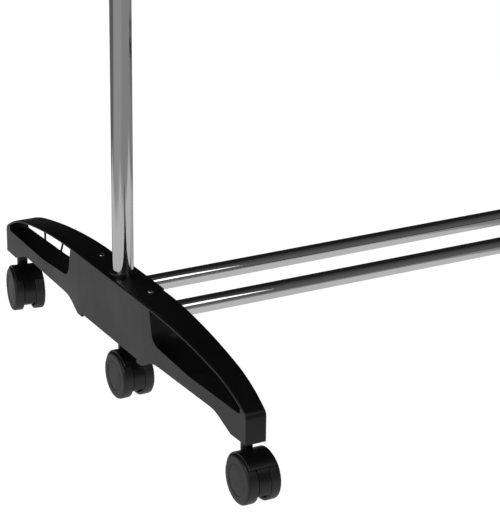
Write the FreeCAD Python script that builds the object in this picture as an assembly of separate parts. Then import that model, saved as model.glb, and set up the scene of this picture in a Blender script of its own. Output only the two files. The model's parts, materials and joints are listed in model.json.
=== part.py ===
import FreeCAD, Part
import math
import os

# Garment rail on two moulded legs with twin-wheel casters. Millimetres, +Z up.
# The origin is on the floor, in the middle of the object's box.
# X runs along the hanging rail, Y from the front casters to the rear ones.

V = FreeCAD.Vector
X_AXIS, Y_AXIS, Z_AXIS = V(1, 0, 0), V(0, 1, 0), V(0, 0, 1)
FAR = 1000.0                      # longer than any piece is wide, for cutting prisms

# ---- driving dimensions -------------------------------------------------------------
post_pitch = 900.0                # between the two posts' axes
rail_axis_z = 1385.0              # hanging rail's axis, at the height it is set to at rest

post_d, post_wall = 22.0, 1.2     # fixed lower posts
post_top_z = 930.0
inner_wall = 1.0                  # telescopic upper tubes
telescope_gap = 0.3               # radial, between a post's bore and the tube inside it
tube_overlap = 280.0              # how much of an upper tube is inside its post at rest
rail_d, rail_wall = 22.0, 1.2
rail_overhang = 62.0              # past each post's axis
bar_d, bar_wall = 18.0, 1.0       # the two lower bars
bar_spacing = 75.0
slide_gap = 0.05                  # radial, between parts that slide or turn in each other
thread_gap = 0.05

# casters
wheel_d = 49.0
caster_width = 35.0
caster_trail = 13.5
caster_in = 18.5                  # end casters' stems, from the leg's ends
caster_turns = {"front": 0.0, "middle": 0.0, "rear": 10.0}    # degrees outwards, at rest
rim_inner_x = 6.6                 # inner edge of each wheel's tread, from the middle
tread_t = 3.0
wheel_edge_round, wheel_inner_round = 2.4, 1.0
disc_t = 3.0
hub_r, hub_inner_x = 7.0, 4.0
hub_cap_in, hub_cap_dish = 9.0, 0.8   # hub cap's edge, in from the tread
axle_r, axle_in = 3.0, 2.9        # axle's ends are this far in from the wheels' faces
axle_end_gap = 0.4
web_gap, web_hub_gap = 0.4, 0.5   # between the web and the wheels' rims and hubs
web_in, web_hub_r = 4.7, 8.0      # the web is this much smaller than the wheels
hood_gap, hood_t, hood_in = 0.8, 1.7, 2.5
hood_front_deg, hood_rear_deg = 48.0, 112.0    # from the top of the wheel
apron_in, apron_deg = 0.2, 115.0  # front of the body between the wheels, down to here
boss_r, boss_gap = 5.9, 0.5
stem_r, stem_above_axle = 4.0, 9.5
ring_r, ring_t = 4.9, 2.0         # the stem's grip ring, under its top
socket_r = 6.5
foot_clearance = 9.5              # between the hoods' tops and the leg's feet

# leg moulding; its heights are given above its feet
leg_length = 569.0
leg_width_mid, leg_width_end = 35.0, 22.0
block_half = 77.0                 # the straight middle block reaches this far each way
leg_rise = 69.6                   # top of the block
top_flat_half = 70.0              # the top is level this far each way
shoulder_run, shoulder_rise = 59.5, 54.1  # shoulder's distance from the end, and its height
leg_end_rise = 29.7               # top of the end face
leg_end_round = 8.0
leg_edge_round = 1.4
strip_t = 2.4                     # thin top strip over the windows
window_in, window_in_top = 101.0, 93.0    # window's inner end, from the middle, and its top
window_end_wall = 11.5
window_sill_rise, window_sill_in_rise = 27.4, 33.5
window_sill_slope = 73.0          # the sill slopes down over this length
window_round, window_end_round = 15.0, 3.0
belly_rise = 12.5                 # underside of the arms
belly_in_run = 23.0
belly_out_gap, belly_out_run = 28.5, 31.0  # where the foot starts, from the leg's end
belly_round = 45.0
block_under_rise, block_under_in = 3.5, 11.0
pad_r = 9.0                       # round pad for the middle caster
wall_t = 2.5
rib_bays = 4                      # hollows along each arm's underside
strut_t = 1.8
strut_upright_in = 58.5           # upright strut in the window, from the leg's end
strut_lean_in, strut_lean = 101.5, 20.0    # leaning strut's foot, and how far its top is in
strut_proud = 1.5                 # struts' back face, past the narrow end's width
post_seat_rise = 29.0             # bottom of the post's socket
bar_rise = 36.0
bar_stop_wall = 5.0               # outer wall that the bars' ends stop against
stem_rise, socket_rise = 23.0, 25.5        # tops of the caster stems and their sockets

# housing that takes the two bars, on the leg's inner side
housing_wall = 7.5
housing_rise = 15.0
housing_split_x = 3.0
housing_tongue_reach, housing_tongue_t = 11.0, 4.0
housing_tongue_side = 1.6         # tongue past its screw's head
housing_screw_out = 3.5
housing_proud = 2.3               # past the leg's inner side
notch_x = 10.5                    # step in the leg's inner edge, in front of the housing
bar_collar_t, bar_collar_proud = 2.5, 4.0
rim_t, rim_h, rim_round = 3.0, 4.0, 0.8    # raised rim round the post's socket

# height-lock collars and their knobs
collar_wall, collar_round = 4.5, 1.5
collar_lower, collar_upper = 32.0, 30.0
boss_wall, boss_out = 2.7, 9.5    # knob's boss round the nut, and past the collar
knob_screw_r, knob_screw_gap = 3.0, 0.3
nut_flats, nut_t, nut_out = 10.0, 5.0, 1.5
knob_r, knob_t, knob_lobes = 15.0, 13.0, 6
knob_gap, knob_round = 0.6, 1.3
scallop_r, scallop_in = 5.5, 2.6
screw_tip_gap = 0.4

# fittings at the top
fitting_wall = 3.6
fitting_half = 21.0
fitting_drop = 46.0               # below the rail's axis
fitting_round = 1.2
fitting_screw_up, fitting_screw_in = 12.0, 7.0   # from the tee's foot and from its end
rail_seat_wall = 1.5              # between the rail and the tube's bore
cap_t, cap_lip, cap_insert = 7.0, 1.6, 16.0
guide_foot, guide_shank, guide_wall = 14.0, 20.0, 2.2

# fasteners
tapping_r, tapping_head_r, tapping_head_t = 1.8, 3.4, 2.2
tapping_bite = 3.0                # how far a tapping screw reaches past a tube's wall
housing_screw_depth = 16.0
bar_screw_in = 8.0                # from the bar's end
bolt_r, bolt_head_r, bolt_head_t = 2.5, 4.6, 3.0
bolt_past_post = 3.0

# ---- places worked out from them ----------------------------------------------------
wheel_r = wheel_d / 2
web_r, web_half = wheel_r - web_in, rim_inner_x - web_gap
apron_r = wheel_r - apron_in
web_hub_half = hub_inner_x - web_hub_gap
hub_cap_r = wheel_r - hub_cap_in
hood_half = caster_width / 2 - hood_in
axle_half = caster_width / 2 - axle_in
stem_bottom_z = wheel_r + stem_above_axle
leg_foot_z = wheel_d + hood_gap + hood_t + foot_clearance
stem_top_z, socket_top_z = leg_foot_z + stem_rise, leg_foot_z + socket_rise

half_leg = leg_length / 2
leg_top_z, leg_end_z = leg_foot_z + leg_rise, leg_foot_z + leg_end_rise
belly_z, block_under_z = leg_foot_z + belly_rise, leg_foot_z + block_under_rise
window_sill_z = leg_foot_z + window_sill_rise
post_seat_z, bar_z = leg_foot_z + post_seat_rise, leg_foot_z + bar_rise
post_bolt_z = (post_seat_z + leg_top_z) / 2
post_bolt_tip = -post_d / 2 - bolt_past_post
bar_ys = (-bar_spacing / 2, bar_spacing / 2)
bar_stop_x = bar_stop_wall - leg_width_mid / 2   # how deep a bar goes into the leg
bar_screw_x = bar_stop_x + bar_screw_in
housing_half = bar_spacing / 2 + bar_d / 2 + housing_wall
housing_bottom_z = leg_foot_z + housing_rise
housing_face_x = leg_width_mid / 2 + housing_proud
housing_screw_ys = (-housing_half - housing_screw_out, housing_half + housing_screw_out)
housing_screw_bottom = leg_top_z - housing_screw_depth

inner_d = post_d - 2 * post_wall - 2 * telescope_gap
inner_bottom_z = post_top_z - tube_overlap
collar_r = post_d / 2 + collar_wall
knob_axis_z = post_top_z + collar_upper / 2
boss_knob_r = nut_flats / math.sqrt(3) + boss_wall
boss_reach, nut_x = collar_r + boss_out, collar_r + nut_out
knob_bore = 0.7 * knob_t
fitting_bore_top = rail_axis_z - rail_d / 2 - rail_seat_wall
fitting_screw_z = rail_axis_z - fitting_drop + fitting_screw_up
rail_screw_x = fitting_half - fitting_screw_in

caster_pitch = half_leg - caster_in
front_reach = caster_pitch + caster_trail + wheel_r
rear_reach = max(half_leg, caster_pitch - caster_trail + wheel_r + hood_gap + hood_t)
post_y = (front_reach - rear_reach) / 2      # so that the box is centred on the origin
caster_ys = {"front": -caster_pitch, "middle": 0.0, "rear": caster_pitch}
sides = {"left": -1, "right": 1}
parts = {}


def box(x0, x1, y0, y1, z0, z1):
    return Part.makeBox(x1 - x0, y1 - y0, z1 - z0, V(x0, y0, z0))


def cyl(r, length, base, axis):
    return Part.makeCylinder(r, length, base, axis)


def tube(r, wall, length, base, axis):
    return cyl(r, length, base, axis).cut(cyl(r - wall, length, base, axis))


def rounded_outline(points, radii):
    """Closed wire through the points, each corner rounded by an arc of its radius."""
    edges, ends = [], []
    count = len(points)
    for i, corner in enumerate(points):
        before, after = points[i - 1], points[(i + 1) % count]
        if radii[i] == 0:
            ends.append((corner, None, corner))
            continue
        a = (before - corner).normalize()
        b = (after - corner).normalize()
        half_turn = a.getAngle(b) / 2
        reach = radii[i] / math.tan(half_turn)
        bisector = (a + b).normalize()
        middle = corner + bisector * (radii[i] / math.sin(half_turn) - radii[i])
        ends.append((corner + a * reach, middle, corner + b * reach))
    for i, (start, middle, finish) in enumerate(ends):
        if middle is not None:
            edges.append(Part.Arc(start, middle, finish).toShape())
        following = ends[(i + 1) % count][0]
        edges.append(Part.LineSegment(finish, following).toShape())
    return Part.Wire(edges)


def prism_x(wire, x0, x1):
    face = Part.Face(wire)
    face.translate(V(x0, 0, 0))
    return face.extrude(V(x1 - x0, 0, 0))


def outline_x(pairs, radii, x0, x1):
    return prism_x(rounded_outline([V(0, y, z) for y, z in pairs], radii), x0, x1)


def both_ways(shape):
    """The shape and its mirror image across the leg's middle plane."""
    return shape.fuse(shape.mirror(V(0, 0, 0), Y_AXIS))


def edges_where(shape, test):
    return [edge for edge in shape.Edges if test(edge)]


# ---- leg ----------------------------------------------------------------------------
def circle_through(start, direction, end):
    """Centre and radius of the circle that leaves start along direction and meets end."""
    normal = V(0, direction.z, -direction.y)
    if normal.z > 0:
        normal = normal * -1
    chord = end - start
    radius = chord.dot(chord) / (2 * chord.dot(normal))
    return start + normal * radius, radius


def arch_curve():
    """The top curve's arcs on the rear half: each is its centre, radius, start and end."""
    crown = V(0, top_flat_half, leg_top_z)
    shoulder = V(0, half_leg - shoulder_run, leg_foot_z + shoulder_rise)
    tip = V(0, half_leg, leg_end_z)
    centre, radius = circle_through(crown, V(0, 1, 0), shoulder)
    out = (shoulder - centre).normalize()
    centre_2, radius_2 = circle_through(shoulder, V(0, out.z, -out.y), tip)
    return [(centre, radius, crown, shoulder), (centre_2, radius_2, shoulder, tip)]


def arch_prism(inset, x0, x1):
    """Everything under the top curve, moved inwards by inset."""
    edges, point = [], V(0, 0, leg_top_z - inset)
    for centre, radius, start, end in arch_curve():
        shrink = (radius - inset) / radius
        a = centre + (start - centre) * shrink
        b = centre + (end - centre) * shrink
        mid = centre + ((a + b) * 0.5 - centre).normalize() * (radius - inset)
        if not edges:
            edges.append(Part.LineSegment(point, a).toShape())
        edges.append(Part.Arc(a, mid, b).toShape())
        point = b
    corners = [point, V(0, point.y, 0), V(0, 0, 0), V(0, 0, leg_top_z - inset)]
    for a, b in zip(corners, corners[1:]):
        edges.append(Part.LineSegment(a, b).toShape())
    return both_ways(prism_x(Part.Wire(edges), x0, x1)).removeSplitter()


def plan_prism(inset, z0, z1):
    """The leg's plan, wide at the block and narrower towards its ends."""
    mid, end = leg_width_mid / 2 - inset, leg_width_end / 2 - inset
    points = [V(mid, -block_half, z0), V(mid, block_half, z0), V(end, half_leg, z0),
              V(-end, half_leg, z0), V(-mid, block_half, z0), V(-mid, -block_half, z0),
              V(-end, -half_leg, z0), V(end, -half_leg, z0)]
    return Part.Face(Part.makePolygon(points + points[:1])).extrude(V(0, 0, z1 - z0))


def window_prism():
    """The window on the rear arm."""
    outer = half_leg - window_end_wall
    above = leg_top_z + wall_t
    pairs = [(window_in_top, above), (window_in, leg_foot_z + window_sill_in_rise),
             (window_in + window_sill_slope, window_sill_z), (outer, window_sill_z),
             (outer, above)]
    outline = outline_x(pairs, [0, window_round, 0, window_end_round, 0], -FAR, FAR)
    return outline.common(arch_prism(strip_t, -FAR, FAR))


def window_struts():
    """Two thin struts that cross the back of the window on the rear arm."""
    sill = window_sill_z - 1
    x1 = leg_width_end / 2 + strut_proud
    y = half_leg - strut_upright_in
    upright = box(x1 - strut_t, x1, y - strut_t / 2, y + strut_t / 2, sill, leg_top_z)
    y0 = half_leg - strut_lean_in
    y1 = y0 - strut_lean
    pairs = [(y0, sill), (y0 + strut_t, sill), (y1 + strut_t, leg_top_z), (y1, leg_top_z)]
    leaning = outline_x(pairs, [0] * 4, x1 - strut_t, x1)
    struts = upright.fuse(leaning)
    return struts.common(arch_prism(strip_t / 2, -FAR, FAR)).common(plan_prism(0, 0, FAR))


def belly_prism():
    """What is taken away under the rear arm, between the block and the foot."""
    down = 20.0
    y0, y3 = block_half, half_leg - belly_out_gap
    k0, k3 = belly_in_run / belly_rise, belly_out_run / belly_rise
    z0 = leg_foot_z - down
    pairs = [(y0 - down * k0, z0), (y0 + belly_in_run, belly_z),
             (y3 - belly_out_run, belly_z), (y3 + down * k3, z0)]
    return outline_x(pairs, [0, belly_round, belly_round, 0], -FAR, FAR)


def arm_pockets():
    """Hollows under the rear arm, open downwards, with cross ribs left between them."""
    inside = plan_prism(wall_t, 0, window_sill_z - wall_t)
    first, last = block_half + wall_t, half_leg - belly_out_gap - wall_t
    step = (last - first) / rib_bays
    pockets = []
    for i in range(rib_bays):
        y0 = first + i * step
        pockets.append(box(-FAR, FAR, y0, y0 + step - wall_t, 0, FAR).common(inside))
    return pockets


def block_pockets():
    """Hollows under the rear half of the block, on both sides of the bar's bore."""
    inside = plan_prism(wall_t, 0, leg_top_z - housing_tongue_t - wall_t)
    near = box(-FAR, housing_split_x - wall_t, post_d / 2 + wall_t,
               bar_spacing / 2 - bar_d / 2 - wall_t, 0, FAR)
    far = box(-FAR, notch_x - wall_t, housing_screw_ys[1] + wall_t + tapping_r,
              block_half - wall_t, 0, FAR)
    return [shape.common(inside) for shape in (near, far)]


def housing_space():
    """The space that the housing fills on the leg's inner side."""
    body = box(housing_split_x, FAR, -housing_half, housing_half, housing_bottom_z, FAR)
    reach = housing_half + housing_tongue_reach
    side = tapping_head_r + housing_tongue_side
    tongue = box(housing_split_x - side, housing_split_x + side, -reach, reach,
                 leg_top_z - housing_tongue_t, FAR)
    return body.fuse(tongue)


def bores(shape):
    """Cuts the bores for the post, the bars, the caster sockets and the screws."""
    shape = shape.cut(cyl(post_d / 2, FAR, V(0, 0, post_seat_z), Z_AXIS))
    for y in bar_ys:
        shape = shape.cut(cyl(bar_d / 2, FAR, V(bar_stop_x, y, bar_z), X_AXIS))
        shape = shape.cut(cyl(tapping_r, bar_z, V(bar_screw_x, y, 0), Z_AXIS))
    for y in housing_screw_ys:
        base = V(housing_split_x, y, housing_screw_bottom)
        shape = shape.cut(cyl(tapping_r, FAR, base, Z_AXIS))
        head = V(housing_split_x, y, leg_top_z - tapping_head_t / 2)
        shape = shape.cut(cyl(tapping_head_r, FAR, head, Z_AXIS))
    for y in caster_ys.values():
        shape = shape.cut(cyl(socket_r, socket_top_z, V(0, y, 0), Z_AXIS))
    return shape.cut(cyl(bolt_r, FAR, V(post_bolt_tip, 0, post_bolt_z), X_AXIS))


def post_rim():
    rim = cyl(post_d / 2 + rim_t, rim_h, V(0, 0, leg_top_z), Z_AXIS)
    top = edges_where(rim, lambda e: e.BoundBox.ZMin > leg_top_z + rim_h - 0.01)
    return rim.makeFillet(rim_round, top)


def leg():
    """Left leg on its own axes: the post's axis is at x = 0, y = 0, inner side at +x."""
    shape = arch_prism(0, -FAR, FAR).common(plan_prism(0, leg_foot_z, FAR))
    ends = edges_where(shape, lambda e: abs(e.BoundBox.ZMin - leg_end_z) < 0.01
                       and e.BoundBox.ZLength < 0.01)
    shape = shape.makeFillet(leg_end_round, ends)
    top = edges_where(shape, lambda e: e.BoundBox.ZMin > leg_end_z - leg_end_round - 0.01
                      and e.BoundBox.YLength > leg_end_round / 3)
    shape = shape.makeFillet(leg_edge_round, top)
    shape = shape.cut(both_ways(belly_prism()))
    under_half = block_half - block_under_in
    under = box(-FAR, FAR, -under_half, under_half, 0, block_under_z)
    pad = cyl(pad_r, block_under_z, V(0, 0, 0), Z_AXIS)
    shape = shape.cut(under.cut(pad))
    shape = shape.cut(both_ways(window_prism())).fuse(both_ways(window_struts()))
    for pocket in arm_pockets() + block_pockets():
        shape = shape.cut(pocket).cut(pocket.mirror(V(0, 0, 0), Y_AXIS))
    step = box(notch_x, FAR, -block_half, -housing_half, housing_bottom_z, FAR)
    shape = shape.cut(step).fuse(post_rim())
    return bores(shape.cut(housing_space())).removeSplitter()


def bar_housing():
    """Inner half of the block: it closes round the post and carries the bars' collars."""
    outside = plan_prism(0, housing_bottom_z, leg_top_z)
    proud = box(housing_split_x, housing_face_x, -housing_half, housing_half,
                housing_bottom_z, leg_top_z)
    shape = housing_space().common(outside).fuse(proud).removeSplitter()
    inner_top = edges_where(shape, lambda e: abs(e.BoundBox.ZMin - leg_top_z) < 0.01
                            and abs(e.BoundBox.XMin - housing_face_x) < 0.01
                            and e.BoundBox.XLength < 0.01)
    shape = shape.makeFillet(leg_edge_round, inner_top)
    shape = shape.fuse(post_rim().common(box(housing_split_x, FAR, -FAR, FAR, 0, FAR)))
    hollow_x = post_d / 2 + wall_t
    for y in bar_ys:
        length = housing_face_x + bar_collar_proud - hollow_x
        collar = cyl(bar_d / 2 + bar_collar_t, length, V(hollow_x, y, bar_z), X_AXIS)
        shape = shape.fuse(collar)
    return bores(shape).removeSplitter()


def at_post(shape, side):
    placed = shape.copy() if side < 0 else shape.mirror(V(0, 0, 0), X_AXIS)
    placed.translate(V(side * post_pitch / 2, post_y, 0))
    return placed


# ---- screws -------------------------------------------------------------------------
def cross_slot(shape, head_top, r, axis):
    """Cuts a cross recess into a screw's head."""
    depth, width = r * 0.35, r * 0.28
    turn = FreeCAD.Rotation(Z_AXIS, axis)
    for along_x, along_y in ((r * 0.6, width / 2), (width / 2, r * 0.6)):
        slot = box(-along_x, along_x, -along_y, along_y, -depth, 1)
        slot.Placement = FreeCAD.Placement(head_top, turn)
        shape = shape.cut(slot)
    return shape


def screw(r, head_r, head_t, length, seat, axis):
    """A pan-head screw whose head stands on seat and whose shank points against axis."""
    shank = cyl(r, length, seat - axis * length, axis)
    head = cyl(head_r, head_t, seat, axis)
    far_rim = edges_where(head, lambda e: abs((e.CenterOfMass - seat).dot(axis) - head_t) < 0.01)
    head = head.makeFillet(head_t * 0.45, far_rim)
    return cross_slot(shank.fuse(head), seat + axis * head_t, head_r, axis)


def housing_screw(y):
    seat = V(housing_split_x, y, leg_top_z - tapping_head_t / 2)
    length = seat.z - housing_screw_bottom
    return screw(tapping_r, tapping_head_r, tapping_head_t, length, seat, Z_AXIS)


def bar_screw(y):
    seat = V(bar_screw_x, y, block_under_z)
    tip = bar_z - bar_d / 2 + bar_wall + tapping_bite
    return screw(tapping_r, tapping_head_r, tapping_head_t, tip - seat.z, seat, Z_AXIS * -1)


def post_bolt():
    seat = V(housing_face_x, 0, post_bolt_z)
    return screw(bolt_r, bolt_head_r, bolt_head_t, seat.x - post_bolt_tip, seat, X_AXIS)


# ---- tubes --------------------------------------------------------------------------
def post():
    shape = tube(post_d / 2, post_wall, post_top_z - post_seat_z, V(0, 0, post_seat_z), Z_AXIS)
    bolt_hole = cyl(bolt_r, 2 * post_d, V(-post_d, 0, post_bolt_z), X_AXIS)
    return shape.cut(bolt_hole)


def lower_bar(y):
    x1 = post_pitch / 2 - bar_stop_x
    shape = tube(bar_d / 2, bar_wall, 2 * x1, V(-x1, y + post_y, bar_z), X_AXIS)
    for sign in (-1, 1):
        x = sign * (post_pitch / 2 - bar_screw_x)
        shape = shape.cut(cyl(tapping_r, bar_z, V(x, y + post_y, 0), Z_AXIS))
    return shape


def inner_tube():
    length = fitting_bore_top - inner_bottom_z
    shape = tube(inner_d / 2, inner_wall, length, V(0, 0, inner_bottom_z), Z_AXIS)
    return shape.cut(cyl(tapping_r, inner_d, V(0, 0, fitting_screw_z), Y_AXIS))


def tube_guide():
    """Plastic plug under the inner tube, which keeps it centred in the post."""
    r = post_d / 2 - post_wall - slide_gap
    plug_r = inner_d / 2 - inner_wall
    foot = cyl(r, guide_foot, V(0, 0, inner_bottom_z - guide_foot), Z_AXIS)
    shank = cyl(plug_r, guide_shank, V(0, 0, inner_bottom_z), Z_AXIS)
    hollow = cyl(plug_r - guide_wall, FAR, V(0, 0, inner_bottom_z - guide_foot), Z_AXIS)
    return foot.fuse(shank).cut(hollow)


def hanging_rail():
    half = post_pitch / 2 + rail_overhang
    shape = tube(rail_d / 2, rail_wall, 2 * half, V(-half, post_y, rail_axis_z), X_AXIS)
    for side in sides.values():
        x = side * (post_pitch / 2 + rail_screw_x)
        shape = shape.cut(cyl(tapping_r, rail_d, V(x, post_y, rail_axis_z), Y_AXIS))
    return shape


def rail_cap():
    """End cap on the left end of the hanging rail, on the post's axes."""
    x = -rail_overhang
    r = rail_d / 2 + cap_lip
    head = cyl(r, cap_t, V(x - cap_t, 0, rail_axis_z), X_AXIS)
    outer = edges_where(head, lambda e: e.BoundBox.XMax < x - cap_t + 0.01)
    head = head.makeFillet(cap_t * 0.6, outer)
    insert_r = rail_d / 2 - rail_wall
    insert = tube(insert_r, guide_wall, cap_insert, V(x, 0, rail_axis_z), X_AXIS)
    return head.fuse(insert)


def rail_fitting():
    """Tee that carries the hanging rail on the inner tube, on the post's axes."""
    sleeve_r = rail_d / 2 + fitting_wall
    socket_r_out = inner_d / 2 + fitting_wall
    sleeve = cyl(sleeve_r, 2 * fitting_half, V(-fitting_half, 0, rail_axis_z), X_AXIS)
    stem = cyl(socket_r_out, fitting_drop, V(0, 0, rail_axis_z - fitting_drop), Z_AXIS)
    ends = edges_where(sleeve, lambda e: e.BoundBox.XLength < 0.01)
    sleeve = sleeve.makeFillet(fitting_round, ends)
    foot = edges_where(stem, lambda e: e.BoundBox.ZMax < rail_axis_z - fitting_drop + 0.01)
    shape = sleeve.fuse(stem.makeFillet(fitting_round, foot))
    shape = shape.cut(cyl(rail_d / 2, 2 * fitting_half, V(-fitting_half, 0, rail_axis_z), X_AXIS))
    shape = shape.cut(cyl(inner_d / 2, fitting_bore_top, V(0, 0, 0), Z_AXIS))
    for seat in fitting_screw_seats():
        shape = shape.cut(cyl(tapping_r, FAR, V(seat.x, 0, seat.z), Y_AXIS))
    return shape


def fitting_screw_seats():
    """Where the two screws' heads stand on the tee's back."""
    return [V(0, inner_d / 2 + fitting_wall, fitting_screw_z),
            V(-rail_screw_x, rail_d / 2 + fitting_wall, rail_axis_z)]


def fitting_screw(seat):
    length = fitting_wall + rail_wall + tapping_bite / 2
    return screw(tapping_r, tapping_head_r, tapping_head_t, length, seat, Y_AXIS)


# ---- height-lock collar -------------------------------------------------------------
def collar():
    """Collar on the post's top. The knob's boss points outwards, which is -x here."""
    bottom = post_top_z - collar_lower
    body = cyl(collar_r, collar_lower + collar_upper, V(0, 0, bottom), Z_AXIS)
    rims = edges_where(body, lambda e: e.BoundBox.ZLength < 0.01)
    body = body.makeFillet(collar_round, rims)
    boss = cyl(boss_knob_r, boss_reach, V(-boss_reach, 0, knob_axis_z), X_AXIS)
    shape = body.fuse(boss)
    shape = shape.cut(cyl(post_d / 2, collar_lower, V(0, 0, bottom), Z_AXIS))
    shape = shape.cut(cyl(inner_d / 2 + slide_gap, FAR, V(0, 0, post_top_z), Z_AXIS))
    screw_bore = cyl(knob_screw_r + knob_screw_gap, boss_reach,
                     V(-boss_reach, 0, knob_axis_z), X_AXIS)
    nut_slot = box(-nut_x - nut_t / 2, -nut_x + nut_t / 2, -nut_flats / 2, nut_flats / 2,
                   knob_axis_z, knob_axis_z + boss_knob_r + 1)
    return shape.cut(screw_bore).cut(nut_blank()).cut(nut_slot)


def nut_blank():
    corner_r = nut_flats / math.sqrt(3)
    corners = [V(-nut_x - nut_t / 2, corner_r * math.sin(math.radians(60 * i)),
                 knob_axis_z + corner_r * math.cos(math.radians(60 * i))) for i in range(6)]
    return Part.Face(Part.makePolygon(corners + corners[:1])).extrude(V(nut_t, 0, 0))


def clamp_nut():
    bore = cyl(knob_screw_r + thread_gap, FAR, V(-FAR / 2, 0, knob_axis_z), X_AXIS)
    return nut_blank().cut(bore)


def clamp_screw():
    tip = -inner_d / 2 - screw_tip_gap
    length = boss_reach + knob_gap + knob_bore + tip
    shape = cyl(knob_screw_r, length, V(tip - length, 0, knob_axis_z), X_AXIS)
    tip_edge = edges_where(shape, lambda e: e.BoundBox.XMin > tip - 0.01)
    return shape.makeFillet(knob_screw_r / 3, tip_edge)


def clamp_knob():
    inner = -boss_reach - knob_gap
    shape = cyl(knob_r, knob_t, V(inner - knob_t, 0, knob_axis_z), X_AXIS)
    for i in range(knob_lobes):
        turn = 2 * math.pi * i / knob_lobes
        reach = knob_r + scallop_in
        base = V(inner - knob_t, reach * math.sin(turn), knob_axis_z + reach * math.cos(turn))
        shape = shape.cut(cyl(scallop_r, knob_t, base, X_AXIS))
    flat = edges_where(shape, lambda e: e.BoundBox.XLength < 0.01)
    shape = shape.makeFillet(knob_round, flat)
    return shape.cut(cyl(knob_screw_r, knob_bore, V(inner - knob_bore, 0, knob_axis_z), X_AXIS))


# ---- caster -------------------------------------------------------------------------
def turned_x(points, y, z):
    """Solid turned about the X direction from (x, radius) points."""
    ring = [V(x, 0, r) for x, r in points]
    face = Part.Face(Part.makePolygon(ring + ring[:1]))
    shape = face.revolve(V(0, 0, 0), X_AXIS, 360)
    shape.translate(V(0, y, z))
    return shape


def wheel(sign):
    """One wheel of a caster: thin rim, outer disc with a hub cap, and a blind hub."""
    outer = caster_width / 2
    y, z = -caster_trail, wheel_r
    dish = outer - hub_cap_dish
    points = [(rim_inner_x, wheel_r), (outer, wheel_r), (outer, hub_cap_r + 2 * hub_cap_dish),
              (dish, hub_cap_r + 1.5 * hub_cap_dish), (dish, hub_cap_r),
              (outer, hub_cap_r - 0.75 * hub_cap_dish), (outer, 0), (axle_half + axle_end_gap, 0),
              (axle_half + axle_end_gap, axle_r + slide_gap), (hub_inner_x, axle_r + slide_gap),
              (hub_inner_x, hub_r), (outer - disc_t, hub_r),
              (outer - disc_t, wheel_r - tread_t), (rim_inner_x, wheel_r - tread_t)]
    shape = turned_x(points, y, z)
    for x, edge_round in ((outer, wheel_edge_round), (rim_inner_x, wheel_inner_round)):
        edge = edges_where(shape, lambda e: abs(e.BoundBox.XMin - x) < 0.01
                           and e.BoundBox.XLength < 0.01
                           and abs(e.BoundBox.ZLength - wheel_d) < 0.1)
        shape = shape.makeFillet(edge_round, edge)
    return shape if sign > 0 else shape.mirror(V(0, 0, 0), X_AXIS)


def caster_body():
    """Swivelling body: web and apron between the wheels, hood over them, and stem's boss."""
    y, z = -caster_trail, wheel_r
    apron = cyl(apron_r, 2 * web_half, V(-web_half, y, z), X_AXIS)
    apron = apron.common(sector(y, z, apron_deg, hood_rear_deg))
    web = cyl(web_r, 2 * web_half, V(-web_half, y, z), X_AXIS).fuse(apron)
    for x0 in (-web_half, web_hub_half):
        web = web.cut(cyl(web_hub_r, web_half - web_hub_half, V(x0, y, z), X_AXIS))
    inner_r = wheel_r + hood_gap
    ring = tube(inner_r + hood_t, hood_t, 2 * hood_half, V(-hood_half, y, z), X_AXIS)
    ring_edges = edges_where(ring, lambda e: e.BoundBox.XLength < 0.01
                             and e.BoundBox.ZLength > 2 * inner_r + hood_t)
    ring = ring.makeFillet(hood_t * 0.47, ring_edges)
    bridge = tube(inner_r + hood_t / 2, inner_r + hood_t / 2 - web_r, 2 * web_half,
                  V(-web_half, y, z), X_AXIS)
    hood = ring.fuse(bridge).common(sector(y, z, hood_front_deg, hood_rear_deg))
    top = leg_foot_z - boss_gap
    boss = cyl(boss_r, top - z, V(0, 0, z), Z_AXIS)
    inside = cyl(inner_r, 2 * FAR, V(-FAR, y, z), X_AXIS)
    above = boss.cut(inside).fuse(boss.common(box(-web_half, web_half, -FAR, FAR, 0, FAR)))
    shape = web.fuse(hood).fuse(above)
    shape = shape.cut(cyl(stem_r + slide_gap, FAR, V(0, 0, stem_bottom_z - boss_gap), Z_AXIS))
    return shape.cut(cyl(axle_r, 2 * FAR, V(-FAR, y, z), X_AXIS)).removeSplitter()


def sector(y, z, front_deg, rear_deg):
    """Sector seen along X, from front_deg before the wheel's top to rear_deg behind it."""
    reach = 3 * wheel_r
    angles = [-front_deg, 0.0, rear_deg]
    rim = [V(-FAR, y + reach * math.sin(math.radians(a)), z + reach * math.cos(math.radians(a)))
           for a in angles]
    points = [V(-FAR, y, z)] + rim
    return Part.Face(Part.makePolygon(points + points[:1])).extrude(V(2 * FAR, 0, 0))


def axle():
    return cyl(axle_r, 2 * axle_half, V(-axle_half, -caster_trail, wheel_r), X_AXIS)


def stem():
    """Steel stem with a grip ring near its top. The socket holds it, the body turns on it."""
    shape = cyl(stem_r, stem_top_z - stem_bottom_z, V(0, 0, stem_bottom_z), Z_AXIS)
    ring = cyl(ring_r, ring_t, V(0, 0, stem_top_z - 3 * ring_t), Z_AXIS)
    top = edges_where(shape, lambda e: e.BoundBox.ZMin > stem_top_z - 0.01)
    return shape.makeFillet(stem_r / 4, top).fuse(ring)


def socket():
    shape = cyl(socket_r, socket_top_z - leg_foot_z, V(0, 0, leg_foot_z), Z_AXIS)
    return shape.cut(stem())


# ---- assembly -----------------------------------------------------------------------
def add(node, *shapes):
    parts.setdefault(node, []).extend(shapes)


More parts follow.
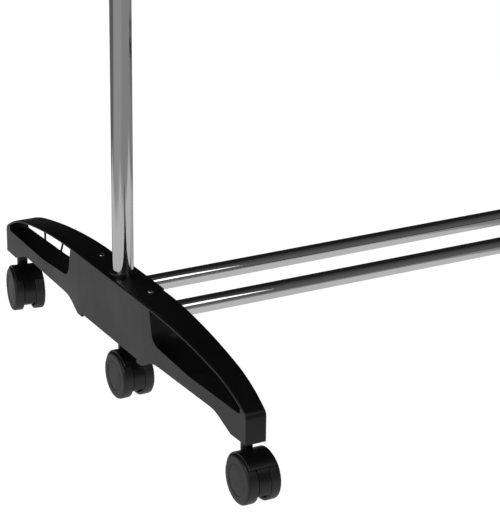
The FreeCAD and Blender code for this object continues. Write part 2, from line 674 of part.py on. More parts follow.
left_leg, left_housing = leg(), bar_housing()
for name, side in sides.items():
    add(name + "_leg", at_post(left_leg, side))
    add(name + "_bar_housing", at_post(left_housing, side))
    add(name + "_post", at_post(post(), side))
    add(name + "_collar", at_post(collar(), side))
    add(name + "_clamp_knob", at_post(clamp_knob(), side))
    add(name + "_clamp_screw", at_post(clamp_screw(), side))
    add(name + "_upper_tube", at_post(inner_tube(), side))
    add(name + "_tube_guide", at_post(tube_guide(), side))
    add(name + "_rail_fitting", at_post(rail_fitting(), side))
    add(name + "_rail_cap", at_post(rail_cap(), side))
    add("clamp_nuts", at_post(clamp_nut(), side))
    add("post_bolts", at_post(post_bolt(), side))
    add("housing_screws", *[at_post(housing_screw(y), side)
                            for y in housing_screw_ys])
    add("bar_screws", *[at_post(bar_screw(y), side)
                        for y in bar_ys])
    add("fitting_screws", *[at_post(fitting_screw(seat), side)
                            for seat in fitting_screw_seats()])
    for place, y in caster_ys.items():
        here = V(side * post_pitch / 2, post_y + y, 0)
        turn = side * caster_turns[place]
        caster = name + "_" + place
        made = {"_caster_body": caster_body(), "_axle": axle(),
                "_wheel_left": wheel(-1), "_wheel_right": wheel(1)}
        for ending, shape in made.items():
            shape.rotate(V(0, 0, 0), Z_AXIS, turn)
            shape.translate(here)
            add(caster + ending, shape)
        for node, shape in (("caster_stems", stem()), ("stem_sockets", socket())):
            shape.translate(here)
            add(node, shape)
add("front_lower_bar", lower_bar(-bar_spacing / 2))
add("rear_lower_bar", lower_bar(bar_spacing / 2))
add("hanging_rail", hanging_rail())

os.makedirs("parts", exist_ok=True)
for node, shapes in sorted(parts.items()):
    shape = shapes[0] if len(shapes) == 1 else Part.makeCompound(shapes)
    shape.exportStep(os.path.join("parts", node + ".step"))
    box_now = shape.BoundBox
    print(node, "solids", len(shape.Solids), "valid", shape.isValid(),
          "size", round(box_now.XLength, 1), round(box_now.YLength, 1), round(box_now.ZLength, 1))
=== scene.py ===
import json

import bmesh
import bpy
import numpy as np
from mathutils import Matrix, Vector


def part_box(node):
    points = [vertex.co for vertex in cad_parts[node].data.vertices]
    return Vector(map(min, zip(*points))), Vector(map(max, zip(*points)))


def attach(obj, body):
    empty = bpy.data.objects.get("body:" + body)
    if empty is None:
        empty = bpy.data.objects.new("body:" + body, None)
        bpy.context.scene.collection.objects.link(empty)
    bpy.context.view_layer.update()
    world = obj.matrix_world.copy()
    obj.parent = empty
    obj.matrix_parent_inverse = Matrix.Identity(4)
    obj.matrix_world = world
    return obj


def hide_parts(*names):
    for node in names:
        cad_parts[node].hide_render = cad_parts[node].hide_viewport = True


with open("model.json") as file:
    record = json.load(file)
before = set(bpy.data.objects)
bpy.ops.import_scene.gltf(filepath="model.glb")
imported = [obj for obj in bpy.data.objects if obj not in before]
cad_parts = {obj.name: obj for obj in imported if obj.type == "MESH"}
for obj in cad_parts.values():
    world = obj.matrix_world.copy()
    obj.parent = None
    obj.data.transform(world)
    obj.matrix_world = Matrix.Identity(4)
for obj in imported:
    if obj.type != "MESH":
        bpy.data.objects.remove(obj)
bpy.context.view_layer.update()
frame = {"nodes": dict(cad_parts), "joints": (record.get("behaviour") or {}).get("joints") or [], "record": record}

# A garment rail on two arched legs: chromed tubes, black moulded plastic and twin-wheel casters.
# Everything is in metres. Places come from the frame's own boxes.
nodes = frame["nodes"]
bodyOf = {node: body for body, group in frame["record"]["behaviour"]["bodies"].items() for node in group}
slotOf = {part["node"]: part["material_slot"] for part in frame["record"]["subparts"]}
jointOf = {joint["child"]: joint for joint in frame["joints"]}
mm = 0.001
mergeWithin = 1e-6
sideSigns = {"left": -1, "right": 1}
casterPlaces = ("front", "middle", "rear")
print("frame loaded:", len(nodes), "nodes")


# Surfaces: every piece is a grid of points worked out as whole arrays

def meshFromGrid(name, grid, wrapRows):
    # Point (i, j) joins (i+1, j), (i+1, j+1) and (i, j+1) in one quad. Columns always close on themselves
    rows, columns = grid.shape[:2]
    index = np.arange(rows * columns).reshape(rows, columns)
    down, across = np.roll(index, -1, axis=0), np.roll(index, -1, axis=1)
    quads = np.stack([index, down, np.roll(down, -1, axis=1), across], axis=-1)
    quads = quads[: rows if wrapRows else rows - 1].reshape(-1, 4)
    mesh = bpy.data.meshes.new(name)
    mesh.vertices.add(rows * columns)
    mesh.vertices.foreach_set("co", grid.astype(np.float32).ravel())
    mesh.loops.add(quads.size)
    mesh.loops.foreach_set("vertex_index", quads.astype(np.int32).ravel())
    mesh.polygons.add(len(quads))
    mesh.polygons.foreach_set("loop_start", np.arange(0, quads.size, 4, dtype=np.int32))
    mesh.update(calc_edges=True)
    return mesh


def closeAndFaceOut(mesh, sharpAngle):
    work = bmesh.new()
    work.from_mesh(mesh)
    bmesh.ops.remove_doubles(work, verts=work.verts, dist=mergeWithin)  # closes the poles
    bmesh.ops.recalc_face_normals(work, faces=work.faces)
    work.to_mesh(mesh)
    work.free()
    mesh.polygons.foreach_set("use_smooth", np.ones(len(mesh.polygons), dtype=bool))
    mesh.set_sharp_from_angle(angle=np.radians(sharpAngle))


def roundedLine(corners, radii, steps, closed):
    # Each corner becomes an arc that touches both of its sides: its centre lies on the corner's bisector,
    # at radius / sin(half the corner's angle), and the arc runs between the two touching points.
    corners = np.array(corners, float)
    pieces = []
    for i, corner in enumerate(corners):
        isEnd = not closed and i in (0, len(corners) - 1)
        if isEnd or radii[i] == 0:
            pieces.append(corner[None])
            continue
        before = corners[i - 1] - corner
        after = corners[(i + 1) % len(corners)] - corner
        before, after = before / np.linalg.norm(before), after / np.linalg.norm(after)
        half = np.arccos(np.clip(before @ after, -1, 1)) / 2
        bisector = (before + after) / np.linalg.norm(before + after)
        centre = corner + bisector * radii[i] / np.sin(half)
        start = corner + before * radii[i] / np.tan(half) - centre
        finish = corner + after * radii[i] / np.tan(half) - centre
        turn = np.arctan2(start[0] * finish[1] - start[1] * finish[0], start @ finish)
        angle = turn * np.linspace(0, 1, steps)[:, None]
        quarter = np.array([-start[1], start[0]])
        pieces.append(centre + np.cos(angle) * start + np.sin(angle) * quarter)
    return np.concatenate(pieces)


def turnedGrid(profile, turns, centre, axis):
    # A profile of (distance along the axis, radius) pairs is carried round the axis:
    # point = centre + along * axis + radius * (cos t * sideA + sin t * sideB).
    axis = np.array(axis, float)
    sideA = np.cross(axis, (0, 0, 1) if abs(axis[2]) < 0.5 else (0, 1, 0))
    sideA /= np.linalg.norm(sideA)
    sideB = np.cross(axis, sideA)
    t = np.linspace(0, 2 * np.pi, turns, endpoint=False)[None, :, None]
    along, radius = profile[:, 0][:, None, None], profile[:, 1][:, None, None]
    return np.array(centre) + along * axis + radius * (np.cos(t) * sideA + np.sin(t) * sideB)


def makePiece(name, mesh, material, node):
    piece = bpy.data.objects.new(name, mesh)
    bpy.context.scene.collection.objects.link(piece)
    mesh.materials.append(material)
    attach(piece, bodyOf[node])
    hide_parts(node)
    return piece


def boxOf(node):
    low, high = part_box(node)
    return np.array(low), np.array(high)


# Materials

patternLook = {
    "blotchShare": 0.35,                           # what the blotches add to a moulded grain's height
    "dustFacing": 0.55, "driftsPerMetre": 60.0, "driftStart": 0.42, "driftFull": 0.7,
    "crestStart": 0.6, "crestFull": 0.74,          # where a pulled noise counts as a hairline
    "toneLow": 0.3, "toneHigh": 0.7,               # the usual span of a noise
    "plasticBump": 0.5, "metalBump": 0.3, "dustRoughens": 0.5,
}


def addNode(tree, kind, **values):
    node = tree.nodes.new(kind)
    for name, value in values.items():
        if name in node.inputs:
            node.inputs[name].default_value = value
        else:
            setattr(node, name, value)
    return node


def newGroup(name, inputs, outputs):
    group = bpy.data.node_groups.new(name, "ShaderNodeTree")
    for socketName, kind, value in inputs:
        socket = group.interface.new_socket(name=socketName, in_out="INPUT", socket_type=kind)
        if value is not None:
            socket.default_value = value
    for socketName, kind in outputs:
        group.interface.new_socket(name=socketName, in_out="OUTPUT", socket_type=kind)
    return group, group.nodes.new("NodeGroupInput"), group.nodes.new("NodeGroupOutput")


def mouldedGrainGroup():
    # Fine eroded texture of a mould, and the broad soft unevenness of a moulded wall
    group, given, put = newGroup("mouldedGrain", [
        ("Coordinates", "NodeSocketVector", None), ("Grain per metre", "NodeSocketFloat", 2200.0),
        ("Blotches per metre", "NodeSocketFloat", 18.0)],
        [("Height", "NodeSocketFloat"), ("Tone", "NodeSocketFloat")])
    grain = addNode(group, "ShaderNodeTexNoise", Detail=3.0, Roughness=0.6)
    blotch = addNode(group, "ShaderNodeTexNoise", Detail=4.0, Roughness=0.55)
    soft = addNode(group, "ShaderNodeMath", operation="MULTIPLY")
    soft.inputs[1].default_value = patternLook["blotchShare"]
    total = addNode(group, "ShaderNodeMath", operation="ADD")
    link = group.links.new
    link(given.outputs["Coordinates"], grain.inputs["Vector"])
    link(given.outputs["Grain per metre"], grain.inputs["Scale"])
    link(given.outputs["Coordinates"], blotch.inputs["Vector"])
    link(given.outputs["Blotches per metre"], blotch.inputs["Scale"])
    link(blotch.outputs["Fac"], soft.inputs[0])
    link(grain.outputs["Fac"], total.inputs[0])
    link(soft.outputs["Value"], total.inputs[1])
    link(total.outputs["Value"], put.inputs["Height"])
    link(blotch.outputs["Fac"], put.inputs["Tone"])
    return group


def settledDustGroup():
    # Dust lies where the surface faces up, in uneven drifts
    group, given, put = newGroup("settledDust", [
        ("Coordinates", "NodeSocketVector", None), ("Amount", "NodeSocketFloat", 0.2)],
        [("Mask", "NodeSocketFloat")])
    surface = addNode(group, "ShaderNodeNewGeometry")
    parts = addNode(group, "ShaderNodeSeparateXYZ")
    facing = addNode(group, "ShaderNodeMapRange")
    facing.inputs["From Min"].default_value = patternLook["dustFacing"]
    drifts = addNode(group, "ShaderNodeTexNoise", Scale=patternLook["driftsPerMetre"],
                     Detail=6.0, Roughness=0.7)
    uneven = addNode(group, "ShaderNodeMapRange")
    uneven.inputs["From Min"].default_value = patternLook["driftStart"]
    uneven.inputs["From Max"].default_value = patternLook["driftFull"]
    both = addNode(group, "ShaderNodeMath", operation="MULTIPLY")
    scaled = addNode(group, "ShaderNodeMath", operation="MULTIPLY")
    link = group.links.new
    link(surface.outputs["Normal"], parts.inputs["Vector"])
    link(parts.outputs["Z"], facing.inputs["Value"])
    link(given.outputs["Coordinates"], drifts.inputs["Vector"])
    link(drifts.outputs["Fac"], uneven.inputs["Value"])
    link(facing.outputs["Result"], both.inputs[0])
    link(uneven.outputs["Result"], both.inputs[1])
    link(both.outputs["Value"], scaled.inputs[0])
    link(given.outputs["Amount"], scaled.inputs[1])
    link(scaled.outputs["Value"], put.inputs["Mask"])
    return group


def fineScratchesGroup():
    # Hairlines: a noise pulled long in one direction and cut to its crests
    group, given, put = newGroup("fineScratches", [
        ("Coordinates", "NodeSocketVector", None), ("Squeeze", "NodeSocketVector", (1.0, 1.0, 1.0)),
        ("Amount", "NodeSocketFloat", 0.5)],
        [("Mask", "NodeSocketFloat")])
    pulled = addNode(group, "ShaderNodeVectorMath", operation="MULTIPLY")
    lines = addNode(group, "ShaderNodeTexNoise", Scale=1.0, Detail=2.0, Roughness=0.5)
    crests = addNode(group, "ShaderNodeMapRange")
    crests.inputs["From Min"].default_value = patternLook["crestStart"]
    crests.inputs["From Max"].default_value = patternLook["crestFull"]
    scaled = addNode(group, "ShaderNodeMath", operation="MULTIPLY")
    link = group.links.new
    link(given.outputs["Coordinates"], pulled.inputs[0])
    link(given.outputs["Squeeze"], pulled.inputs[1])
    link(pulled.outputs["Vector"], lines.inputs["Vector"])
    link(lines.outputs["Fac"], crests.inputs["Value"])
    link(crests.outputs["Result"], scaled.inputs[0])
    link(given.outputs["Amount"], scaled.inputs[1])
    link(scaled.outputs["Value"], put.inputs["Mask"])
    return group


grainGroup, dustGroup, scratchGroup = mouldedGrainGroup(), settledDustGroup(), fineScratchesGroup()


def placeGroup(tree, group, **values):
    node = tree.nodes.new("ShaderNodeGroup")
    node.node_tree = group
    for name, value in values.items():
        node.inputs[name.replace("_", " ")].default_value = value
    return node


def startMaterial(name):
    material = bpy.data.materials.new(name)
    material.use_nodes = True
    tree = material.node_tree
    shader = tree.nodes["Principled BSDF"]
    place = tree.nodes.new("ShaderNodeTexCoord")
    return material, tree, shader, place.outputs["Object"]


def colourSockets(mix):
    return [s for s in mix.inputs if s.type == "RGBA"], [s for s in mix.outputs if s.type == "RGBA"][0]


def blendColours(tree, mask, first, second):
    # first and second are colours or output sockets; the mask runs from first to second
    mix = tree.nodes.new("ShaderNodeMix")
    mix.data_type = "RGBA"
    tree.links.new(mask, mix.inputs["Factor"])
    sockets, result = colourSockets(mix)
    for socket, colour in zip(sockets, (first, second)):
        if isinstance(colour, tuple):
            socket.default_value = (*colour, 1.0)
        else:
            tree.links.new(colour, socket)
    return result


def remap(tree, value, low, high, fromLow=0.0, fromHigh=1.0):
    node = addNode(tree, "ShaderNodeMapRange")
    node.inputs["From Min"].default_value = fromLow
    node.inputs["From Max"].default_value = fromHigh
    node.inputs["To Min"].default_value = low
    node.inputs["To Max"].default_value = high
    tree.links.new(value, node.inputs["Value"])
    return node.outputs["Result"]


def addUp(tree, first, second):
    node = addNode(tree, "ShaderNodeMath", operation="ADD")
    tree.links.new(first, node.inputs[0])
    tree.links.new(second, node.inputs[1])
    return node.outputs["Value"]


def roughByTone(tree, grain, span):
    return remap(tree, grain.outputs["Tone"], *span, patternLook["toneLow"], patternLook["toneHigh"])


def addBump(tree, shader, height, distance, strength):
    bump = addNode(tree, "ShaderNodeBump", Strength=strength, Distance=distance)
    tree.links.new(height, bump.inputs["Height"])
    tree.links.new(bump.outputs["Normal"], shader.inputs["Normal"])


def plastic(name, look):
    material, tree, shader, coordinates = startMaterial(name)
    grain = placeGroup(tree, grainGroup, Grain_per_metre=look["grain"], Blotches_per_metre=look["blotches"])
    dust = placeGroup(tree, dustGroup, Amount=look["dust"])
    scuffs = placeGroup(tree, scratchGroup, Squeeze=look["scuffSqueeze"], Amount=look["scuffs"])
    for group in (grain, dust, scuffs):
        tree.links.new(coordinates, group.inputs["Coordinates"])
    body = blendColours(tree, grain.outputs["Tone"], look["dark"], look["light"])
    worn = blendColours(tree, scuffs.outputs["Mask"], body, look["scuffColour"])
    if "treadWear" in look:
        tread = addNode(tree, "ShaderNodeAttribute", attribute_name="tread")
        worn = blendColours(tree, remap(tree, tread.outputs["Fac"], 0.0, look["treadWear"]),
                            worn, look["dustColour"])
    dusty = blendColours(tree, dust.outputs["Mask"], worn, look["dustColour"])
    tree.links.new(dusty, shader.inputs["Base Color"])
    dusting = remap(tree, dust.outputs["Mask"], 0.0, patternLook["dustRoughens"])
    rough = addUp(tree, roughByTone(tree, grain, look["rough"]), dusting)
    tree.links.new(rough, shader.inputs["Roughness"])
    shader.inputs["Specular IOR Level"].default_value = look["gloss"]
    addBump(tree, shader, grain.outputs["Height"], look["bump"], patternLook["plasticBump"])
    return material


def metal(name, look):
    material, tree, shader, coordinates = startMaterial(name)
    grain = placeGroup(tree, grainGroup, Grain_per_metre=look["grain"], Blotches_per_metre=look["blotches"])
    lines = placeGroup(tree, scratchGroup, Squeeze=look["squeeze"], Amount=look["lines"])
    dust = placeGroup(tree, dustGroup, Amount=look["dust"])
    for group in (grain, lines, dust):
        tree.links.new(coordinates, group.inputs["Coordinates"])
    body = blendColours(tree, grain.outputs["Tone"], look["dark"], look["light"])
    dusty = blendColours(tree, dust.outputs["Mask"], body, look["dustColour"])
    tree.links.new(dusty, shader.inputs["Base Color"])
    shader.inputs["Metallic"].default_value = 1.0
    scratching = remap(tree, lines.outputs["Mask"], 0.0, look["lineRough"])
    rough = addUp(tree, roughByTone(tree, grain, look["rough"]), scratching)
    tree.links.new(rough, shader.inputs["Roughness"])
    height = addUp(tree, grain.outputs["Height"], lines.outputs["Mask"])
    addBump(tree, shader, height, look["bump"], patternLook["metalBump"])
    return material


dustGrey = (0.15, 0.146, 0.14)
plasticLooks = {
    "legPlastic": {"grain": 2300.0, "blotches": 16.0, "dust": 0.02, "scuffSqueeze": (900.0, 60.0, 700.0),
                   "scuffs": 0.08, "dark": (0.0035, 0.0035, 0.0038), "light": (0.0065, 0.0065, 0.0068),
                   "scuffColour": (0.03, 0.03, 0.03), "dustColour": dustGrey, "rough": (0.32, 0.42),
                   "gloss": 0.5, "bump": 0.00006},
    "casterPlastic": {"grain": 3000.0, "blotches": 45.0, "dust": 0.02, "scuffSqueeze": (300.0, 900.0, 900.0),
                      "scuffs": 0.08, "dark": (0.0035, 0.0035, 0.0038), "light": (0.006, 0.006, 0.0063),
                      "scuffColour": (0.03, 0.03, 0.03), "dustColour": dustGrey, "rough": (0.28, 0.38),
                      "gloss": 0.5, "bump": 0.00003},
    "wheelPlastic": {"grain": 3200.0, "blotches": 60.0, "dust": 0.02, "scuffSqueeze": (200.0, 900.0, 900.0),
                     "scuffs": 0.12, "dark": (0.005, 0.005, 0.0053), "light": (0.009, 0.009, 0.0093),
                     "scuffColour": (0.04, 0.04, 0.04), "dustColour": dustGrey, "rough": (0.38, 0.5),
                     "gloss": 0.5, "bump": 0.00003, "treadWear": 0.06},
    "knobPlastic": {"grain": 3600.0, "blotches": 50.0, "dust": 0.02, "scuffSqueeze": (500.0, 500.0, 90.0),
                    "scuffs": 0.10, "dark": (0.004, 0.004, 0.0043), "light": (0.007, 0.007, 0.0073),
                    "scuffColour": (0.03, 0.03, 0.03), "dustColour": dustGrey, "rough": (0.24, 0.34),
                    "gloss": 0.5, "bump": 0.00003},
    "naturalNylon": {"grain": 2600.0, "blotches": 80.0, "dust": 0.05, "scuffSqueeze": (400.0, 400.0, 90.0),
                     "scuffs": 0.2, "dark": (0.50, 0.49, 0.45), "light": (0.62, 0.61, 0.57),
                     "scuffColour": (0.4, 0.39, 0.36), "dustColour": dustGrey, "rough": (0.4, 0.5),
                     "gloss": 0.5, "bump": 0.00003},
}
metalLooks = {
    "uprightChrome": {"grain": 500.0, "blotches": 14.0, "squeeze": (2600.0, 2600.0, 60.0), "lines": 0.4,
                      "dust": 0.0, "dark": (0.62, 0.62, 0.63), "light": (0.74, 0.74, 0.75),
                      "dustColour": dustGrey, "rough": (0.06, 0.10), "lineRough": 0.06, "bump": 0.000002},
    "levelChrome": {"grain": 500.0, "blotches": 14.0, "squeeze": (60.0, 2600.0, 2600.0), "lines": 0.4,
                    "dust": 0.03, "dark": (0.66, 0.66, 0.67), "light": (0.78, 0.78, 0.79),
                    "dustColour": dustGrey, "rough": (0.035, 0.055), "lineRough": 0.04, "bump": 0.0000015},
    "zincPlate": {"grain": 2500.0, "blotches": 200.0, "squeeze": (900.0, 900.0, 900.0), "lines": 0.5,
                  "dust": 0.05, "dark": (0.50, 0.50, 0.49), "light": (0.68, 0.67, 0.64),
                  "dustColour": dustGrey, "rough": (0.24, 0.36), "lineRough": 0.2, "bump": 0.00003},
    "drawnSteel": {"grain": 2500.0, "blotches": 150.0, "squeeze": (900.0, 900.0, 120.0), "lines": 0.6,
                   "dust": 0.0, "dark": (0.42, 0.42, 0.42), "light": (0.56, 0.56, 0.56),
                   "dustColour": dustGrey, "rough": (0.26, 0.38), "lineRough": 0.2, "bump": 0.00003},
}
finishes = {name: plastic(name, look) for name, look in plasticLooks.items()}
finishes.update({name: metal(name, look) for name, look in metalLooks.items()})
finishOfSlot = {"leg_plastic": "legPlastic", "fitting_plastic": "legPlastic", "knob_plastic": "knobPlastic",
                "tube_chrome": "uprightChrome", "caster_plastic": "casterPlastic",
                "wheel_plastic": "wheelPlastic", "screw_zinc": "zincPlate", "steel_pin": "drawnSteel",
                "guide_plastic": "naturalNylon"}
for node, part in nodes.items():
    part.data.materials.clear()
    part.data.materials.append(finishes[finishOfSlot[slotOf[node]]])
print("materials made:", len(finishes))


# Chromed tubes

tubeLook = {"turns": 128, "edgeRound": 0.3 * mm, "wall": 1.1 * mm, "roundSteps": 5, "sharpAngle": 40}


def chromedTube(node, axis, finish):
    # The wall's section is a long rounded rectangle, carried round the tube's axis
    low, high = boxOf(node)
    along = int(np.argmax(np.abs(axis)))
    length, radius = high[along] - low[along], (high - low)[(along + 1) % 3] / 2
    centre = (low + high) / 2
    centre[along] = low[along]
    inner = radius - tubeLook["wall"]
    corners = [(0, radius), (length, radius), (length, inner), (0, inner)]
    profile = roundedLine(corners, [tubeLook["edgeRound"]] * 4, tubeLook["roundSteps"], closed=True)
    mesh = meshFromGrid(node + "_tube", turnedGrid(profile, tubeLook["turns"], centre, axis), True)
    closeAndFaceOut(mesh, tubeLook["sharpAngle"])
    return makePiece(node + "_tube", mesh, finishes[finish], node)


for node in ("left_post", "right_post", "left_upper_tube", "right_upper_tube"):
    chromedTube(node, (0, 0, 1), "uprightChrome")
for node in ("front_lower_bar", "rear_lower_bar", "hanging_rail"):
    chromedTube(node, (1, 0, 0), "levelChrome")
print("tubes made")


# Caster wheels

wheelLook = {
    "turns": 128, "roundSteps": 5, "sharpAngle": 50,
    "faceAt": 17.5 * mm, "rimAt": 6.6 * mm, "hubAt": 4.0 * mm,   # from the caster's middle
    "edgeRound": 2.4 * mm, "innerRound": 1.0 * mm,
    "treadWall": 3.0 * mm, "treadRound": 0.4 * mm, "discWall": 3.0 * mm, "discRound": 1.2 * mm,
    "hubRadius": 7.0 * mm, "hubRound": 0.4 * mm,
    "boreRadius": 3.05 * mm, "boreRound": 0.3 * mm, "boreEnd": 2.5 * mm,
    # domed cap in the outer face: how far its middle, its bend and its edge lie in from the face
    "capRadius": 15.5 * mm, "capMiddle": 0.1 * mm, "capBend": 0.15 * mm, "capEdge": 0.3 * mm,
    "capBendShare": 0.6, "capBendRound": 8 * mm,
    "grooveWidth": 0.4 * mm, "grooveDepth": 0.45 * mm,           # ring groove round the cap
    "grooveSlope": (0.1 * mm, 0.2 * mm), "grooveLip": 0.3 * mm, "grooveRound": 0.1 * mm,
    "treadFrom": 0.97, "treadBlend": 0.02,                       # shares of the wheel's radius
}


def casterWheel(node, outward):
    # Turned from a section that starts at the outer face's centre and ends at the axle bore's blind end
    low, high = boxOf(node)
    look = wheelLook
    roll = jointOf[bodyOf[node]]
    centre, axis = np.array(roll["pos_m"]), outward * np.array(roll["axis"], float)
    radius = (high[2] - low[2]) / 2
    face, rim, hub = look["faceAt"], look["rimAt"], look["hubAt"]
    groove, disc, boreEnd = face - look["grooveDepth"], face - look["discWall"], face - look["boreEnd"]
    cap, treadIn = look["capRadius"], radius - look["treadWall"]
    slopeIn, slopeOut = look["grooveSlope"]
    corners = [(face - look["capMiddle"], 0), (face - look["capBend"], cap * look["capBendShare"]),
               (face - look["capEdge"], cap), (groove, cap + slopeIn), (groove, cap + look["grooveWidth"]),
               (face, cap + look["grooveWidth"] + slopeOut), (face, radius),
               (rim, radius), (rim, treadIn), (disc, treadIn), (disc, look["hubRadius"]),
               (hub, look["hubRadius"]), (hub, look["boreRadius"]), (boreEnd, look["boreRadius"]),
               (boreEnd, 0)]
    radii = [0, look["capBendRound"], look["grooveLip"], look["grooveRound"], look["grooveRound"],
             look["grooveLip"], look["edgeRound"], look["innerRound"], look["treadRound"],
             look["discRound"], look["discRound"], look["hubRound"], look["boreRound"], 0, 0]
    profile = roundedLine(corners, radii, look["roundSteps"], closed=False)
    mesh = meshFromGrid(node + "_turned", turnedGrid(profile, look["turns"], centre, axis), False)
    closeAndFaceOut(mesh, look["sharpAngle"])
    points = np.empty(len(mesh.vertices) * 3, np.float32)
    mesh.vertices.foreach_get("co", points)
    reach = np.linalg.norm(np.cross(points.reshape(-1, 3) - centre, axis), axis=1)
    worn = np.clip((reach / radius - look["treadFrom"]) / look["treadBlend"], 0, 1)
    tread = mesh.attributes.new("tread", "FLOAT", "POINT")
    tread.data.foreach_set("value", worn.astype(np.float32))
    return makePiece(node + "_turned", mesh, finishes["wheelPlastic"], node)


for side in sideSigns:
    for place in casterPlaces:
        for wheelSide, outward in sideSigns.items():
            casterWheel(side + "_" + place + "_wheel_" + wheelSide, outward)
print("wheels made")


# Clamp knobs

knobLook = {"turns": 180, "roundSteps": 8, "sharpAngle": 50,
            "lobes": 6, "lobeDepth": 2.8 * mm, "lobePower": 1.5, "lobesFrom": 0.5,  # share of the radius
            "edgeRound": 2.2 * mm, "backRound": 1.2 * mm, "rimWidth": 3.4 * mm,
            "dish": 1.0 * mm, "dishMiddle": 0.7 * mm, "dishSlope": 1.2 * mm, "dishRound": 0.8 * mm,
            "boreRadius": 3.0 * mm, "boreDepth": 9.1 * mm, "boreRound": 0.2 * mm,
            "longRun": 2 * mm, "ringSteps": 12}  # long runs get extra rings, so that the lobes fade evenly


def clampKnob(node, outward):
    # radius = profile radius - lobe depth * ((1 - cos(lobes * t)) / 2)^lobe power, fading in outwards
    low, high = boxOf(node)
    look = knobLook
    centre = (low + high) / 2
    start = low[0] if outward > 0 else high[0]
    thick, radius = high[0] - low[0], (high[2] - low[2]) / 2
    fadeStart = radius * look["lobesFrom"]
    dishEdge = radius - look["rimWidth"] - look["lobeDepth"]
    corners = [(look["boreDepth"], 0), (look["boreDepth"], look["boreRadius"]), (0, look["boreRadius"]),
               (0, fadeStart), (0, radius), (thick, radius), (thick, dishEdge),
               (thick - look["dish"], dishEdge - look["dishSlope"]), (thick - look["dishMiddle"], 0)]
    radii = [0, 0, look["boreRound"], 0, look["backRound"], look["edgeRound"],
             look["dishRound"], look["dishRound"], 0]
    profile = roundedLine(corners, radii, look["roundSteps"], closed=False)
    runs = [np.linspace(a, b, look["ringSteps"], endpoint=False)
            if abs(a - b).max() > look["longRun"] else a[None] for a, b in zip(profile, profile[1:])]
    profile = np.concatenate(runs + [profile[-1:]])
    t = np.linspace(0, 2 * np.pi, look["turns"], endpoint=False)
    fade = np.clip((profile[:, 1] - fadeStart) / (radius - fadeStart), 0, 1)
    fade = fade * fade * (3 - 2 * fade)
    lobe = ((1 - np.cos(look["lobes"] * t)) / 2) ** look["lobePower"]
    atLeast = np.maximum(profile[:, 1], 0.1 * mm)   # keeps the middle point from dividing by nothing
    cut = 1 - look["lobeDepth"] * fade[:, None] * lobe[None] / atLeast[:, None]
    grid = turnedGrid(profile, look["turns"], (0, 0, 0), (outward, 0, 0))
    grid[..., 1:] *= cut[..., None]
    mesh = meshFromGrid(node + "_lobed", grid + np.array([start, centre[1], centre[2]]), False)
    closeAndFaceOut(mesh, look["sharpAngle"])
    return makePiece(node + "_lobed", mesh, finishes["knobPlastic"], node)


for side, sign in sideSigns.items():
    clampKnob(side + "_clamp_knob", sign)
print("knobs made")


# Rail caps

capLook = {"turns": 96, "roundSteps": 8, "sharpAngle": 50,
           "headThick": 7.0 * mm, "crown": 1.2 * mm, "crownBend": 0.36 * mm,  # dome, down from its middle
           "crownBendShare": 0.6, "crownRound": 6 * mm, "edgeRound": 2.6 * mm, "lipRound": 0.4 * mm,
           "insertRadius": 9.8 * mm, "insertWall": 2.2 * mm, "cornerRound": 0.2 * mm,
           "insertRound": 0.4 * mm, "boreRound": 0.3 * mm}


def railCap(node, outward):
    # A domed head and a hollow insert, turned from one section
    low, high = boxOf(node)
    look = capLook
    centre = (low + high) / 2
    start = low[0] if outward > 0 else high[0]
    length, radius = high[0] - low[0], (high[2] - low[2]) / 2
    shoulder, insert = length - look["headThick"], look["insertRadius"]
    bore = insert - look["insertWall"]
    corners = [(length, 0), (length - look["crownBend"], radius * look["crownBendShare"]),
               (length - look["crown"], radius), (shoulder, radius), (shoulder, insert),
               (0, insert), (0, bore), (shoulder, bore), (shoulder, 0)]
    radii = [0, look["crownRound"], look["edgeRound"], look["lipRound"], look["cornerRound"],
             look["insertRound"], look["boreRound"], look["boreRound"], 0]
    profile = roundedLine(corners, radii, look["roundSteps"], closed=False)
    grid = turnedGrid(profile, look["turns"], (start, centre[1], centre[2]), (outward, 0, 0))
    mesh = meshFromGrid(node + "_domed", grid, False)
    closeAndFaceOut(mesh, look["sharpAngle"])
    return makePiece(node + "_domed", mesh, finishes["legPlastic"], node)


for side, sign in sideSigns.items():
    railCap(side + "_rail_cap", sign)
print("caps made")


# Floor, sky, lights and camera

studio = {
    "floorHalf": 60.0, "floorSeen": 0.3, "floorGlow": 1.0, "floorRough": 0.9,
    # painted light that the floor glows with for reflections and bounce: a base value, and soft pools of painted
    # light (x, x, y, y, edge, value) over it
    "paintedFloorGlow": 0.30,
    "paintedFloorPools": [(-70, 70, 0.5, 70, 0.3, 0.14), (-70, -0.9, -1.8, 0.2, 0.3, 0.36),
                   (-0.80, -0.50, -0.32, 0.55, 0.10, 0.60), (-0.46, 0.06, -0.385, 0.2, 0.06, 0.62)],
    "skySeen": 1.0, "skyBehind": 0.015, "skyInFront": 0.13, "skyTurnsDark": (-0.9, 0.1),
    "lights": {  # place, aimed at, width, height, power
        "leftLight": ((-2.2, -0.6, 1.3), (-0.4, 0.0, 0.1), 1.2, 1.0, 14.0),
        "frontLight": ((0.15, -1.36, 1.49), (-0.4, 0.0, 0.1), 0.32, 0.7, 1.5),
    },
}
cameraLook = {"aim": (-0.3108, -0.0070, 0.1299), "distance": 2.2932, "lens": 153.3, "sensor": 36.0,
              "clip": (0.05, 200.0),
              "right": (0.87692, -0.48049, 0.01146), "up": (0.16486, 0.32311, 0.93190),
              "back": (-0.45147, -0.81531, 0.36255)}


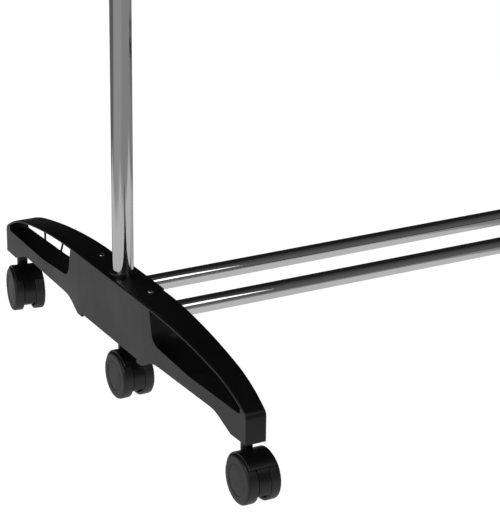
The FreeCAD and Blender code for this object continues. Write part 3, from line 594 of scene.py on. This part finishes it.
def zoneMask(tree, place, zone):
    # 1 inside the zone, falling to 0 over its soft edge: the product of four ramps
    xLow, xHigh, yLow, yHigh, edge, _ = zone
    mask = None
    for value, low, high in ((place.outputs["X"], xLow, xHigh), (place.outputs["Y"], yLow, yHigh)):
        for start, end in ((low - edge, low), (high + edge, high)):
            ramp = remap(tree, value, 0.0, 1.0, start, end)
            if mask is None:
                mask = ramp
                continue
            product = addNode(tree, "ShaderNodeMath", operation="MULTIPLY")
            tree.links.new(mask, product.inputs[0])
            tree.links.new(ramp, product.inputs[1])
            mask = product.outputs["Value"]
    return mask


def makeFloor():
    half = studio["floorHalf"]
    mesh = bpy.data.meshes.new("studioFloor")
    corners = [(-half, -half, 0), (half, -half, 0), (half, half, 0), (-half, half, 0)]
    mesh.from_pydata(corners, [], [(0, 1, 2, 3)])
    floor = bpy.data.objects.new("studioFloor", mesh)
    bpy.context.scene.collection.objects.link(floor)
    material, tree, shader, coordinates = startMaterial("paleFloor")
    place = tree.nodes.new("ShaderNodeSeparateXYZ")
    tree.links.new(coordinates, place.inputs["Vector"])
    grey = (studio["paintedFloorGlow"],) * 3
    # painted pools of light: the floor glows brighter or darker in soft patches, seen only in reflections and
    # bounce
    for zone in studio["paintedFloorPools"]:
        grey = blendColours(tree, zoneMask(tree, place, zone), grey, (zone[-1],) * 3)
    path = tree.nodes.new("ShaderNodeLightPath")
    glow = blendColours(tree, path.outputs["Is Camera Ray"], grey, (studio["floorGlow"],) * 3)
    tree.links.new(glow, shader.inputs["Emission Color"])
    shader.inputs["Emission Strength"].default_value = 1.0
    # The floor takes shadows where it is looked at; to all other rays it has no colour of its own and gives only
    # its painted glow, no bounced light
    shade = remap(tree, path.outputs["Is Camera Ray"], 0.0, studio["floorSeen"])
    tree.links.new(shade, shader.inputs["Base Color"])
    shader.inputs["Roughness"].default_value = studio["floorRough"]
    shader.inputs["Specular IOR Level"].default_value = 0.0
    mesh.materials.append(material)


def makeSky():
    # Reflections see a dark sky behind the rail and a softly lit one in front of it
    world = bpy.data.worlds.new("studio")
    bpy.context.scene.world = world
    world.use_nodes = True
    tree = world.node_tree
    direction = tree.nodes.new("ShaderNodeSeparateXYZ")
    tree.links.new(tree.nodes.new("ShaderNodeTexCoord").outputs["Generated"], direction.inputs["Vector"])
    grey = remap(tree, direction.outputs["Y"], studio["skyInFront"], studio["skyBehind"],
                 *studio["skyTurnsDark"])
    path = tree.nodes.new("ShaderNodeLightPath")
    shade = blendColours(tree, path.outputs["Is Camera Ray"], grey, (studio["skySeen"],) * 3)
    tree.links.new(shade, tree.nodes["Background"].inputs["Color"])


def makeLight(name, place, aim, width, height, power):
    data = bpy.data.lights.new(name, "AREA")
    data.shape = "RECTANGLE"
    data.size, data.size_y, data.energy = width, height, power
    light = bpy.data.objects.new(name, data)
    light.location = place
    light.rotation_euler = (Vector(aim) - Vector(place)).to_track_quat("-Z", "Y").to_euler()
    bpy.context.scene.collection.objects.link(light)


def makeCamera():
    data = bpy.data.cameras.new("camera")
    data.lens, data.sensor_width = cameraLook["lens"], cameraLook["sensor"]
    data.clip_start, data.clip_end = cameraLook["clip"]
    camera = bpy.data.objects.new("camera", data)
    bpy.context.scene.collection.objects.link(camera)
    right, up, back = (Vector(cameraLook[key]) for key in ("right", "up", "back"))
    turn = Matrix((right, up, back)).transposed().to_quaternion().to_matrix().to_4x4()
    place = Vector(cameraLook["aim"]) + back * cameraLook["distance"]
    camera.matrix_world = Matrix.Translation(place) @ turn
    bpy.context.scene.camera = camera


makeFloor()
makeSky()
for name, (place, aim, width, height, power) in studio["lights"].items():
    makeLight(name, place, aim, width, height, power)
makeCamera()
bpy.context.scene.view_settings.view_transform = "Standard"
print("studio made")
